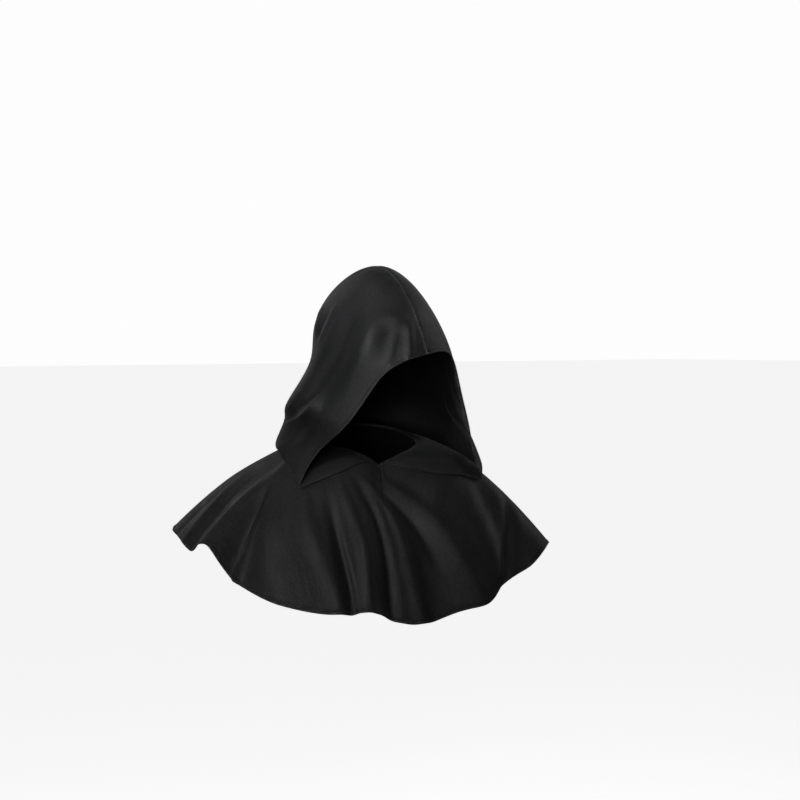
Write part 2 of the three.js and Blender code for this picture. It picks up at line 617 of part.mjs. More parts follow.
// Both panels with their folds, resting on the cape
function drapedPanels() {
  const plain = [panelGrid(-1), panelGrid(1)];
  const normals = hoodNormals(...plain);
  return plain.map((grid, side) => grid.map((row, i) => row.map((point, j) =>
    restOnCape(point.clone().addScaledVector(normals[side][i][j], hoodFoldHeight(point))))));
}

// Both panels are built together, so that their walls stay parallel along the centre seam
function buildHood() {
  const [right, left] = drapedPanels();
  const [normalsRight, normalsLeft] = hoodNormals(right, left);
  const seam = seamCells(right);
  const line = seam.map(([i, j]) => left[i][j]);
  seam.forEach(([i, j], n) => {
    const along = new THREE.Vector3().subVectors(line[Math.min(n + 1, line.length - 1)], line[Math.max(n - 1, 0)]);
    const toLeft = along.cross(normalsLeft[i][j]).normalize();
    right[i][j] = right[i][j].clone().addScaledVector(toLeft, -SEAM_GAP / 2);
    left[i][j] = left[i][j].clone().addScaledVector(toLeft, SEAM_GAP / 2);
  });
  const rightMesh = new THREE.Mesh(clothWall(right, normalsRight, false), satin('hood_satin'));
  rightMesh.name = 'hood_right_panel';
  const leftMesh = new THREE.Mesh(turnedOver(clothWall(left, normalsLeft, false)), satin('hood_satin'));
  leftMesh.name = 'hood_left_panel';
  return [rightMesh, leftMesh];
}

const monkHood = new THREE.Group();
monkHood.name = 'monk_hood';
monkHood.add(buildCapelet(), ...buildHood());

export default monkHood;
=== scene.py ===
"""A monk's hood sewn to a round shoulder cape, both of thin black satin, in its worn drape.

The forms repeat the functions and tables of the part's source, on finer cells and with finer folds.
Lengths are in millimetres and tables hold degrees and shares of the named lengths.
Meshes, lights and the stage are in metres.
+Z is up, the cape's front is towards -Y and the hood's own left is towards +X.
"""

import math

import bpy
import numpy as np
from mathutils import Matrix, Vector


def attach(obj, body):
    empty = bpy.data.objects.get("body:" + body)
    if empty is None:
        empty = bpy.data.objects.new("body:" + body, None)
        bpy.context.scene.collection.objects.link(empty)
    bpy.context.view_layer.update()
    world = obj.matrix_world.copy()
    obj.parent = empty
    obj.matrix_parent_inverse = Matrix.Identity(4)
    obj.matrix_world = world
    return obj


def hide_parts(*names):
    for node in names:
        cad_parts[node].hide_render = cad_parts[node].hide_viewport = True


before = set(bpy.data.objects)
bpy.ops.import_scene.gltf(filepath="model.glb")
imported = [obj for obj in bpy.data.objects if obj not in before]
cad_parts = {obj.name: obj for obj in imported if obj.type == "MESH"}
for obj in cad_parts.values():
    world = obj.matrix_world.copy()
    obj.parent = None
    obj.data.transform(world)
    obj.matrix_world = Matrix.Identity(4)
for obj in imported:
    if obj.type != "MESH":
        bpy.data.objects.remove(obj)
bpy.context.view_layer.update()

MM = 0.001

# Driving dimensions, as in the source
HOOD_HEIGHT = 264
HOOD_DEPTH = 230
HOOD_HALF_WIDTH = 130
HOOD_TURN = 25
SHOULDER_REST = 145
ROLL_LIFT = 9
ROLL_HEIGHT = 23
ROLL_DEPTH = 8
ROLL_LEAN = 3
NECK_HALF_WIDTH = 72
NECK_HALF_DEPTH = 68
NECK_ASIDE = -12
NECK_BEHIND = 27
NECK_BACK_RISE = 20
NECK_V_DIP = 32
V_SPREAD_RIGHT = 32
V_SPREAD_LEFT = 48
CAPE_REACH = 290
CAPE_DROP = 245
CLOTH_WALL = 1.5
STITCH_GAP = 0.8
REST_GAP = 2.6

# The cloth as it is seen: a thin sheet with a rolled hem, a rounded edge and a stitched groove
CLOTH = 0.7
HEM_WIDTH = 6.0
HEM_CLOTH = 1.9
HEM_STITCH = 5.0
HEM_STEP = 1.2
EDGE_ROUND = 1.0
GROOVE_DEPTH = 0.55
GROOVE_REACH = 0.45

# The most that the edge's rounding may count, so that a fifth of the cloth is left at the very edge
EDGE_CLIP = 0.98

# Sewing thread; the lifts and thicknesses are those of a stitch's first end, middle and last end
THREAD = 0.55
STITCH_LENGTH = 2.4
STITCH_PITCH = 3.2
STITCH_START = 2.0
STITCH_LIFTS = (-0.12, 0.14, -0.12)
STITCH_THICKNESS = (0.6, 1, 0.6)
STITCH_RING = [(1, 0), (0.5, 0.87), (-0.5, 0.87), (-1, 0), (-0.5, -0.87), (0.5, -0.87)]
THREAD_OVER_HEM = 0.42
THREAD_OVER_PINCH = 0.4

# The tape inside the neckline: its thickness, its rows below and above the seam, its distance inwards
TAPE = 0.5
TAPE_HEIGHTS = (-3.0, -1.2, 0.6, 2.2)
TAPE_INSIDE = 0.7

# The short stitched pinch in the cape under the V: its bearing, its ends, its groove and its two lips
PINCH_BEARING = 1.0
PINCH_ENDS = (3.0, 24.0)
PINCH_FADE_IN = 3
PINCH_FADE_OUT = 6
PINCH_DEPTH = 1.3
PINCH_REACH = 1.3
LIP_HEIGHT = 0.7
LIP_ASIDE = 3.0
LIP_REACH = 1.6

# The groove along the centre seam, and how much closer than the thick solid the thin cloth lies
SEAM_GROOVE = 1.3
SEAM_GROOVE_REACH = 2.2
CLOSER_AT_SEAM = 1.0
CLOSER_AT_REST = 1.5

# How the folds fade and narrow, as in the source
FOLD_WIDTH_AT_NECK = 0.45
FOLD_HEIGHT_AT_NECK = 0.35
CAPE_FOLD_FADE = 0.3
HOOD_FOLD_FADE = 0.25
ROUNDS_PER_POINT = 4

# How far apart a fold's rounds may be and how far beyond them they act, in shares of its reach
ROUND_SPACING = 0.5
ROUND_CUT_OFF = 3.5

# How the hood's lower edge rests on the cape, as in the source
SEAM_REACH = 0.12
REST_SOFTNESS = 0.4
FAR_ABOVE = 30
SLOPE_STEP = 2

# Rounds in which the cape's level is found, and the least share that its slope is worked out for
SEARCH_ROUNDS = 4
LEAST_SHARE = 0.02

# Rows and columns of the fine grids; the cape has its closer columns at the front
CAPE_FRONT = (-116, 92)
CAPE_FRONT_COLUMNS = 360
CAPE_BACK_COLUMNS = 150
CAPE_ROWS = 150
CAPE_INNER_ROWS = 66
NECK_FLAT_RADIUS = 75
HOOD_CELLS = (14, 8, 8, 10, 34, 34, 36, 48)
HOOD_COLUMNS = 221
HOOD_INNER_COLUMNS = 150

# Lengths from the hemmed edge at which the fine grids have a row or column
HEM_PLACES = np.array([0, 0.25, 0.7, 1.4, 2.4, 3.4, 4.3, 4.7, 5.0, 5.3, 5.7, 6.3, 7.2, 8.8, 11.0])

# Columns: bearing in degrees, drop (share of CAPE_DROP), reach (share of CAPE_REACH), bend
CAPE_HEM = [
    (-150, 0.80, 0.75, 1.35),
    (-125, 0.64, 0.90, 1.6),
    (-102, 0.555, 1.03, 1.7),
    (-85, 0.585, 1.0, 1.65),
    (-78, 0.62, 0.975, 1.6),
    (-71, 0.575, 0.945, 1.54),
    (-66, 0.70, 0.915, 1.46),
    (-60, 0.785, 0.88, 1.4),
    (-50, 0.862, 0.83, 1.32),
    (-35, 0.925, 0.77, 1.22),
    (-18, 0.94, 0.715, 1.14),
    (-10, 0.93, 0.71, 1.12),
    (0, 0.985, 0.70, 1.1),
    (10, 1.015, 0.70, 1.1),
    (20, 0.982, 0.71, 1.15),
    (30, 0.94, 0.76, 1.22),
    (36, 0.92, 0.795, 1.28),
    (44, 0.80, 0.84, 1.36),
    (56, 0.718, 0.895, 1.5),
    (66, 0.632, 0.93, 1.55),
    (78, 0.635, 0.94, 1.6),
    (100, 0.63, 0.92, 1.6),
    (125, 0.71, 0.845, 1.5),
    (150, 0.815, 0.74, 1.3),
    (180, 0.87, 0.655, 1.25),
]

# Columns: bearing at the hem, bearing at its start, start, end, sweep, width, height
CAPE_FOLDS = [
    (-91, -94, 0.45, 1.5, 1, 0.030, -0.012),
    (-84, -92, 0.40, 1.5, 1, 0.034, 0.010),
    (-75, -76, 0.40, 1.5, 1, 0.034, 0.012),
    (-65, -71, 0.42, 1.5, 1, 0.040, -0.044),
    (-58, -67, 0.50, 1.5, 1, 0.034, 0.014),
    (-47, -62, 0.60, 1.5, 1, 0.055, -0.012),
    (-21, -62, 0.30, 1.5, 1.3, 0.060, 0.014),
    (-18, -44, 0.34, 1.5, 1.6, 0.034, -0.016),
    (-11, -42, 0.20, 1.05, 3, 0.040, 0.014),
    (-2, -32, 0.15, 1.5, 4, 0.042, -0.026),
    (11, -28, 0.15, 1.5, 5, 0.046, 0.018),
    (24, -25, 0.10, 0.9, 3.5, 0.036, -0.014),
    (35, -8, 0.05, 1.5, 2.6, 0.055, 0.020),
    (44, 75, 0.55, 1.5, 1, 0.045, -0.030),
    (64, 70, 0.40, 1.5, 1, 0.080, 0.012),
    (95, 97, 0.40, 1.5, 1, 0.050, -0.022),
    (112, 114, 0.35, 1.5, 1, 0.055, 0.024),
    (130, 130, 0.40, 1.5, 1, 0.050, -0.026),
    (149, 146, 0.35, 1.5, 1, 0.055, 0.024),
    (168, 165, 0.40, 1.5, 1, 0.048, -0.026),
    (-174, -176, 0.35, 1.5, 1, 0.050, 0.026),
    (-157, -158, 0.40, 1.5, 1, 0.048, -0.024),
    (-138, -139, 0.35, 1.5, 1, 0.055, 0.022),
    (-119, -120, 0.40, 1.5, 1, 0.050, -0.026),
    (-104, -104, 0.35, 1.5, 1, 0.045, 0.016),
]

# The finer creases and the softest swells of the cape, with the same columns
CAPE_CREASES = [
    (-98, -101, 0.55, 1.5, 1, 0.016, 0.003),
    (-80, -83, 0.45, 1.5, 1, 0.016, -0.004),
    (-71, -73, 0.40, 1.2, 1, 0.016, 0.002),
    (-56, -70, 0.45, 0.95, 1, 0.026, 0.004),
    (-38, -57, 0.38, 0.80, 1, 0.026, -0.004),
    (-31, -52, 0.34, 0.80, 1, 0.024, 0.004),
    (-15.5, -30, 0.48, 1.5, 1.5, 0.018, 0.006),
    (-8, -12, 0.62, 1.5, 1, 0.020, -0.006),
    (-5, -18, 0.30, 0.85, 2, 0.020, 0.003),
    (15, 12, 0.70, 1.5, 1, 0.026, -0.004),
    (28, 13, 0.80, 1.5, 1, 0.010, -0.002),
    (39, 30, 0.70, 1.5, 1, 0.010, 0.002),
    (52, 55, 0.80, 1.5, 1, 0.016, -0.002),
    (-67, -76, 0.28, 1.15, 1, 0.060, -0.022),
    (-50, -64, 0.30, 0.72, 1, 0.060, -0.020),
    (-52, -60, 0.62, 1.2, 1, 0.045, -0.013),
    (-19, -45, 0.25, 1.2, 1.6, 0.034, -0.014),
    (-12, -42, 0.25, 1.05, 3, 0.030, 0.007),
    (-3, -31, 0.20, 1.1, 4, 0.034, -0.009),
    (8, -28, 0.15, 1.0, 5, 0.030, 0.007),
    (32, 36, 0.12, 1.1, 1, 0.090, 0.018),
    (47, 66, 0.32, 1.1, 1, 0.075, -0.026),
]

# Columns: back, neck, under, roll, curl, cheek, side, temple
RIGHT_SECTIONS = [
    (0, 0.5, (33, 0.70), (54.5, 1.02), 0.65, (0.24, 0.84, 0.891), (0.34, 0.66, 0.73), (0.435, 0.446, 0.565)),
    (0.15, 22, (58, 0.82), (73, 1.0), 0.9, (0.13, 0.94, 0.85), (0.24, 0.77, 0.69), (0.35, 0.60, 0.50)),
    (0.35, 52, (82, 0.876), (91, 0.986), 1, (-0.02, 1.0, 0.80), (0.09, 0.84, 0.62), (0.195, 0.70, 0.42)),
    (0.55, 85, (102, 0.876), (107, 0.98), 1, (-0.217, 1.02, 0.78), (-0.12, 0.84, 0.57), (-0.04, 0.72, 0.37)),
    (0.75, 122, (126, 0.848), (126, 0.952), 1, (-0.413, 0.8, 0.78), (-0.33, 0.61, 0.56), (-0.27, 0.60, 0.37)),
    (0.9, 155, (151, 0.79), (145, 0.90), 1, (-0.53, 0.42, 0.78), (-0.46, 0.34, 0.56), (-0.42, 0.37, 0.36)),
]
LEFT_SECTIONS = [
    (0, 0.5, (43, 0.876), (64, 1.19), 0.8, (0.34, 0.83, 0.925), (0.365, 0.68, 0.73), (0.383, 0.515, 0.516)),
    (0.15, 22, (66, 0.979), (80, 1.17), 1, (0.226, 0.923, 0.88), (0.255, 0.76, 0.69), (0.287, 0.62, 0.47)),
    (0.35, 52, (90, 1.007), (98, 1.117), 1, (0.052, 0.985, 0.82), (0.10, 0.82, 0.62), (0.15, 0.70, 0.42)),
    (0.55, 85, (110, 0.938), (118, 1.041), 1, (-0.165, 0.97, 0.79), (-0.10, 0.81, 0.57), (-0.04, 0.71, 0.37)),
    (0.75, 122, (134, 0.862), (143, 0.966), 1, (-0.383, 0.78, 0.78), (-0.32, 0.61, 0.56), (-0.26, 0.6, 0.37)),
    (0.9, 155, (162, 0.80), (170, 0.90), 1, (-0.52, 0.42, 0.78), (-0.46, 0.34, 0.56), (-0.42, 0.37, 0.36)),
]
BACK_SECTION = (1, 180, (172, 0.766), (162, 0.876), 1, (-0.557, 0, 0.78), (-0.51, 0, 0.58), (-0.50, 0, 0.40))

# Columns: back, ahead, drop
CROWN_SEAM = [
    (0, 0.5, 0.482),
    (0.15, 0.404, 0.312),
    (0.35, 0.239, 0.118),
    (0.55, 0, -0.003),
    (0.75, -0.274, 0.055),
    (0.9, -0.42, 0.17),
    (1, -0.48, 0.27),
]

# Columns: path of (ahead, left, drop), width, height
HOOD_FOLDS = [
    (((0.06, -0.10, 0.02), (0.07, -0.24, 0.05), (-0.01, -0.38, 0.10)), 0.050, 0.012),
    (((-0.07, -0.12, 0.01), (-0.07, -0.28, 0.05)), 0.050, -0.010),
    (((-0.27, -0.46, 0.21), (-0.22, -0.60, 0.31), (-0.17, -0.70, 0.41)), 0.045, 0.018),
    (((-0.10, -0.56, 0.23), (-0.12, -0.65, 0.33), (-0.155, -0.705, 0.42)), 0.032, -0.014),
    (((-0.05, -0.55, 0.20), (-0.09, -0.67, 0.33), (-0.14, -0.73, 0.44)), 0.036, 0.010),
    (((0.07, -0.53, 0.20), (0.14, -0.66, 0.34), (0.12, -0.77, 0.48), (0.03, -0.88, 0.62),
      (-0.07, -1.01, 0.75)), 0.085, -0.030),
    (((0.25, -0.41, 0.22), (0.30, -0.54, 0.34), (0.30, -0.64, 0.46), (0.25, -0.75, 0.62),
      (0.19, -0.87, 0.79)), 0.070, 0.020),
    (((0.30, -0.46, 0.27), (0.36, -0.30, 0.28), (0.39, -0.15, 0.28)), 0.042, 0.010),
    (((0.35, -0.35, 0.32), (0.39, -0.42, 0.41), (0.38, -0.54, 0.52)), 0.050, -0.013),
    (((0.40, -0.24, 0.33), (0.44, -0.32, 0.44), (0.44, -0.41, 0.56)), 0.036, -0.010),
    (((0.40, -0.12, 0.29), (0.44, -0.19, 0.39), (0.49, -0.26, 0.52)), 0.036, 0.014),
    (((-0.45, -0.86, 0.92), (-0.15, -1.00, 0.86), (0.00, -0.99, 0.80), (0.07, -0.92, 0.70)), 0.042, 0.020),
    (((0.07, -0.97, 0.80), (-0.03, -1.0, 0.91), (-0.12, -1.02, 0.99)), 0.050, -0.012),
    (((0.07, 0.93, 0.76), (0.03, 0.99, 0.83), (0.12, 1.02, 0.92), (0.25, 0.93, 0.98)), 0.045, -0.024),
    (((0.29, 0.72, 0.67), (0.26, 0.84, 0.82)), 0.060, 0.014),
    (((-0.30, 0.55, 0.30), (-0.26, 0.68, 0.50), (-0.22, 0.84, 0.72)), 0.060, 0.018),
    (((-0.16, 0.66, 0.36), (-0.08, 0.82, 0.60), (-0.04, 0.94, 0.80)), 0.060, -0.018),
    (((-0.48, 0.20, 0.45), (-0.46, 0.40, 0.66), (-0.42, 0.62, 0.86)), 0.060, -0.020),
    (((-0.46, -0.18, 0.42), (-0.50, -0.20, 0.62), (-0.56, -0.16, 0.86)), 0.060, -0.018),
]

# The finer creases of the hood, with the same columns
HOOD_CREASES = [
    (((0.05, -0.05, 0.00), (0.02, -0.22, 0.04), (-0.06, -0.35, 0.08)), 0.018, 0.003),
    (((-0.04, -0.60, 0.24), (-0.10, -0.68, 0.35), (-0.15, -0.73, 0.44)), 0.016, -0.004),
    (((0.41, -0.20, 0.33), (0.45, -0.26, 0.43), (0.49, -0.32, 0.54)), 0.020, -0.006),
    (((0.41, -0.06, 0.32), (0.46, -0.10, 0.42), (0.50, -0.13, 0.52)), 0.022, -0.006),
    (((-0.40, -0.90, 0.92), (-0.15, -1.0, 0.85), (0.00, -0.99, 0.79), (0.07, -0.92, 0.69)), 0.016, 0.009),
    (((0.04, -0.91, 0.62), (-0.06, -0.99, 0.74), (-0.20, -1.03, 0.81)), 0.045, -0.020),
    (((-0.04, -1.0, 0.90), (-0.18, -1.04, 0.98), (-0.30, -1.0, 1.05)), 0.024, 0.005),
    (((0.30, 0.30, 0.28), (0.35, 0.40, 0.38), (0.38, 0.48, 0.50)), 0.020, 0.004),
    (((0.16, 0.77, 0.57), (0.06, 0.90, 0.70), (0.02, 0.97, 0.78)), 0.020, -0.005),
    (((0.20, 0.75, 0.62), (0.22, 0.84, 0.76), (0.20, 0.93, 0.88)), 0.020, 0.004),
    (((0.12, 0.70, 0.48), (0.10, 0.82, 0.62), (0.12, 0.92, 0.78)), 0.022, 0.004),
]


def smooth_step(share):
    s = np.clip(share, 0.0, 1.0)
    return s * s * (3 - 2 * s)


def spline_through(places, values):
    """A smooth curve through values at rising places, with no bend at its two ends."""
    places = np.asarray(places, float)
    values = np.asarray(values, float)
    count = len(places)
    gaps = np.diff(places)
    matrix = np.eye(count)
    turns = np.zeros_like(values)
    for i in range(1, count - 1):
        matrix[i, i - 1] = gaps[i - 1]
        matrix[i, i] = 2 * (gaps[i - 1] + gaps[i])
        matrix[i, i + 1] = gaps[i]
        turns[i] = 6 * ((values[i + 1] - values[i]) / gaps[i] - (values[i] - values[i - 1]) / gaps[i - 1])
    bends = np.linalg.solve(matrix, turns)

    def at(place):
        place = np.asarray(place, float)
        i = np.clip(np.searchsorted(places, place, side="right") - 1, 0, count - 2)
        span = gaps[i]
        a = (places[i + 1] - place) / span
        b = 1 - a
        scale = span * span / 6
        if values.ndim > 1:
            a, b, scale = a[..., None], b[..., None], scale[..., None]
        bend = ((a**3 - a) * bends[i] + (b**3 - b) * bends[i + 1]) * scale
        return a * values[i] + b * values[i + 1] + bend

    return at


def hem_spline(column):
    rows = sorted(CAPE_HEM)
    places = [row[0] + turn for turn in (-360, 0, 360) for row in rows]
    return spline_through(places, [row[column] for row in rows] * 3)


hem_drop = hem_spline(1)
hem_reach = hem_spline(2)
hem_bend = hem_spline(3)


def neck_radius(bearing):
    angle = np.radians(bearing)
    return 1 / np.hypot(np.sin(angle) / NECK_HALF_WIDTH, np.cos(angle) / NECK_HALF_DEPTH)


def cape_fold_height(bearing, share, reach):
    height = np.zeros(np.broadcast(bearing, share).shape)
    taper = FOLD_WIDTH_AT_NECK + (1 - FOLD_WIDTH_AT_NECK) * share
    rise = FOLD_HEIGHT_AT_NECK + (1 - FOLD_HEIGHT_AT_NECK) * share
    for hem, start_at, start, end, sweep, width, peak in CAPE_FOLDS + CAPE_CREASES:
        along = np.clip((share - start) / (1 - start), 0, 1)
        path = hem + (start_at - hem) * (1 - along) ** sweep
        turn = (bearing - path + 180) % 360 - 180
        off = np.radians(turn) * reach / (width * CAPE_REACH * taper)
        fade = smooth_step((share - start) / CAPE_FOLD_FADE)
        fade = fade * (1 - smooth_step((share - end) / CAPE_FOLD_FADE + 1))
        height += peak * CAPE_REACH * fade * rise * np.exp(-off * off)
    return height


def cape_profile(bearing, share):
    """Middle of the cape's cloth as (reach from the neck's axis, z)."""
    neck = neck_radius(bearing)
    spread = np.where(bearing < 0, V_SPREAD_RIGHT, V_SPREAD_LEFT)
    drop = hem_drop(bearing) * CAPE_DROP
    run = hem_reach(bearing) * CAPE_REACH - neck
    bend = hem_bend(bearing)
    rise = NECK_BACK_RISE * ((1 - np.cos(np.radians(bearing))) / 2) ** 2
    dip = NECK_V_DIP * np.exp(-np.abs(bearing) / spread)
    near = 1 - share
    reach = neck + run * share
    z = rise * near**2 - drop * share**bend - dip * near**3 - HOOD_HEIGHT
    slope = np.arctan2(drop * bend * np.maximum(share, LEAST_SHARE) ** (bend - 1), run)
    height = cape_fold_height(bearing, share, reach)
    return reach + height * np.sin(slope), z + height * np.cos(slope)


def round_neck(bearing, reach, z):
    """Points at a bearing and reach about the neck's axis."""
    angle = np.radians(bearing)
    x = NECK_ASIDE + reach * np.sin(angle)
    y = NECK_BEHIND - reach * np.cos(angle)
    return np.stack(np.broadcast_arrays(x, y, z), axis=-1)


def cape_height_at(bearing, reach):
    """Level of the cape's cloth at a bearing and reach, found in a few rounds."""
    run = hem_reach(bearing) * CAPE_REACH - neck_radius(bearing)
    share = (reach - neck_radius(bearing)) / run
    for _ in range(SEARCH_ROUNDS):
        share = np.clip(share, 0, 1)
        share = share + (reach - cape_profile(bearing, share)[0]) / run
    return cape_profile(bearing, np.clip(share, 0, 1))[1]


def hood_place(ahead, left, drop):
    """A point of the turned hood, from shares of its depth, half width and height."""
    turn = math.radians(HOOD_TURN)
    ahead = np.asarray(ahead, float) * HOOD_DEPTH
    left = np.asarray(left, float) * HOOD_HALF_WIDTH
    x = ahead * math.sin(turn) + left * math.cos(turn)
    y = -ahead * math.cos(turn) + left * math.sin(turn)
    return np.stack(np.broadcast_arrays(x, y, -np.asarray(drop, float) * HOOD_HEIGHT), axis=-1)


def lifted_off_cape(point, lift):
    """The point's place on the plan, at a height above the cape under it."""
    across = point[0] - NECK_ASIDE
    ahead = NECK_BEHIND - point[1]
    bearing = math.degrees(math.atan2(across, ahead))
    level = float(cape_height_at(np.array(bearing), np.array(math.hypot(across, ahead))))
    return np.array([point[0], point[1], level + lift])


def section_keys(section, side):
    _, neck_bearing, under, roll, curl, cheek, side_point, temple = section

    def on_plan(bearing, reach):
        return round_neck(side * bearing, reach * SHOULDER_REST, 0.0)

    def place(ahead, out, drop):
        return hood_place(ahead, side * out, drop)

    neck = round_neck(side * neck_bearing, neck_radius(side * neck_bearing), 0.0)
    under_point = on_plan(*under)
    roll_point = on_plan(*roll)
    top = on_plan(roll[0], roll[1] - ROLL_LEAN / SHOULDER_REST)
    inwards = under_point - roll_point
    inwards = inwards / np.linalg.norm(inwards)
    toe = roll_point + inwards * curl * ROLL_DEPTH
    return [
        lifted_off_cape(neck, CLOTH_WALL + STITCH_GAP),
        lifted_off_cape(under_point, CLOTH_WALL + REST_GAP),
        lifted_off_cape(toe, CLOTH_WALL + REST_GAP),
        lifted_off_cape(roll_point, curl * ROLL_LIFT),
        lifted_off_cape(top, curl * ROLL_HEIGHT),
        place(*cheek),
        place(*side_point),
        place(*temple),
    ]


def key_paths():
    rows = [(section[0] - 1, section_keys(section, -1)) for section in RIGHT_SECTIONS]
    rows.append((0, section_keys(BACK_SECTION, -1)))
    rows += [(1 - section[0], section_keys(section, 1)) for section in reversed(LEFT_SECTIONS)]
    places = [row[0] for row in rows]
    values = np.array([row[1] for row in rows]).reshape(len(rows), -1)
    path = spline_through(places, values)
    return lambda place: path(np.array(place)).reshape(-1, 3)


keys_at = key_paths()
crown_at = spline_through([row[0] for row in CROWN_SEAM], [row[1:] for row in CROWN_SEAM])


def hood_arches(stations, backs):
    """Both panels' plain grids: rows from the neckline to the crown, columns from hem to back."""
    key = np.minimum(len(HOOD_CELLS) - 1, np.floor(stations)).astype(int)
    part = stations - key
    grids = [np.zeros((len(stations), len(backs), 3)) for _ in range(2)]
    for j, back in enumerate(backs):
        ahead, drop = crown_at(np.array(back))
        crown = hood_place(ahead, 0, drop)[None]
        keys = np.concatenate([keys_at(back - 1), crown, keys_at(1 - back)[::-1]])
        steps = np.maximum(1, np.linalg.norm(np.diff(keys, axis=0), axis=1))
        places = np.concatenate([[0], np.cumsum(steps)])
        curve = spline_through(places, keys)
        last = len(places) - 1
        grids[0][:, j] = curve(places[key] + (places[key + 1] - places[key]) * part)
        grids[1][:, j] = curve(places[last - key] + (places[last - key - 1] - places[last - key]) * part)
    return grids


def grid_normals(grid, way, around=False):
    if around:
        along = np.roll(grid, -1, axis=1) - np.roll(grid, 1, axis=1)
    else:
        along = np.gradient(grid, axis=1)
    down = np.gradient(grid, axis=0)
    normal = np.cross(down, along) * way
    return normal / np.maximum(np.linalg.norm(normal, axis=-1, keepdims=True), 1e-9)


def seam_average(right, left):
    """Gives both panels' normals the same value along the seam that they share."""
    for cells in ((-1, slice(None)), (slice(None), -1)):
        mean = right[cells] + left[cells]
        mean /= np.maximum(np.linalg.norm(mean, axis=-1, keepdims=True), 1e-9)
        right[cells] = mean
        left[cells] = mean


def fold_height(points):
    """Height of the hood's folds: each is a row of overlapping rounds along its path."""
    height = np.zeros(points.shape[:-1])
    for path, width, peak in HOOD_FOLDS + HOOD_CREASES:
        reach = width * HOOD_DEPTH
        ends = hood_place(*np.transpose([path[0], path[-1]]))
        chord = np.linalg.norm(ends[1] - ends[0])
        count = max(ROUNDS_PER_POINT * len(path), math.ceil(chord / (ROUND_SPACING * reach)))
        line = spline_through(range(len(path)), path)(np.linspace(0, len(path) - 1, count + 1))
        rounds = hood_place(line[:, 0], line[:, 1], line[:, 2])
        share = np.linspace(0, 1, count + 1)
        weights = smooth_step(share / HOOD_FOLD_FADE) * smooth_step((1 - share) / HOOD_FOLD_FADE)
        step = np.linalg.norm(rounds[0] - rounds[-1]) / count
        scale = peak * HOOD_DEPTH * step / (reach * math.sqrt(math.pi))
        middle = rounds.mean(axis=0)
        radius = np.linalg.norm(rounds - middle, axis=1).max() + ROUND_CUT_OFF * reach
        near = np.linalg.norm(points - middle, axis=-1) < radius
        local = points[near]
        total = np.zeros(len(local))
        for place, weight in zip(rounds, weights):
            total += weight * np.exp(-((local - place) ** 2).sum(axis=1) / (reach * reach))
        height[near] += scale * total
    return height


def rest_on_cape(points, near_gap, far_gap):
    """Lifts the points smoothly off the cape that they rest on."""
    x = points[..., 0] - NECK_ASIDE
    y = NECK_BEHIND - points[..., 1]
    reach = np.hypot(x, y)
    bearing = np.degrees(np.arctan2(x, y))
    neck = neck_radius(bearing)
    from_neck = smooth_step((reach - neck) / (SEAM_REACH * SHOULDER_REST))
    gap = near_gap + (far_gap - near_gap) * from_neck
    beyond = np.maximum(reach, neck)
    level = cape_height_at(bearing, beyond)
    beside = np.where(bearing < 0, -SLOPE_STEP, SLOPE_STEP)
    slope_out = (cape_height_at(bearing, beyond + SLOPE_STEP) - level) / SLOPE_STEP
    slope_round = (cape_height_at(bearing + beside, beyond) - level) / (np.radians(beside) * beyond)
    floor = level + gap * np.sqrt(1 + slope_out**2 + slope_round**2)
    softness = REST_SOFTNESS + from_neck
    over = (points[..., 2] - floor) / softness
    lifted = np.where(over > FAR_ABOVE, over, np.log1p(np.exp(np.minimum(over, FAR_ABOVE))))
    rested = points.copy()
    rested[..., 2] = floor + softness * lifted
    return rested


def run_lengths(grid, axis):
    """Length along the grid's rows or columns from its first point, in millimetres."""
    steps = np.linalg.norm(np.diff(grid, axis=axis), axis=-1)
    total = np.cumsum(steps, axis=axis)
    pad = [(0, 0), (0, 0)]
    pad[axis] = (1, 0)
    return np.pad(total, pad)


def resample(grid, from_edge, inner):
    """Columns at the given lengths from the first one, then `inner` more, evenly spread to the last."""
    lengths = run_lengths(grid, 1)
    columns = len(from_edge) + inner
    out = np.zeros((grid.shape[0], columns, 3))
    for i in range(grid.shape[0]):
        whole = lengths[i, -1]
        rest = from_edge[-1] + (whole - from_edge[-1]) * np.arange(1, inner + 1) / inner
        places = np.concatenate([from_edge, rest])
        for axis in range(3):
            out[i, :, axis] = np.interp(places, lengths[i], grid[i, :, axis])
    return out


def half_wall(from_edge):
    """Half the cloth's thickness at a length from its hemmed edge."""
    hem = smooth_step((HEM_WIDTH + HEM_STEP / 2 - from_edge) / HEM_STEP)
    thick = CLOTH + (HEM_CLOTH - CLOTH) * hem
    thick *= np.sqrt(1 - np.clip(1 - from_edge / EDGE_ROUND, 0, EDGE_CLIP) ** 2)
    sunk = GROOVE_DEPTH * np.exp(-(((from_edge - HEM_STITCH) / GROOVE_REACH) ** 2))
    return thick / 2 - sunk


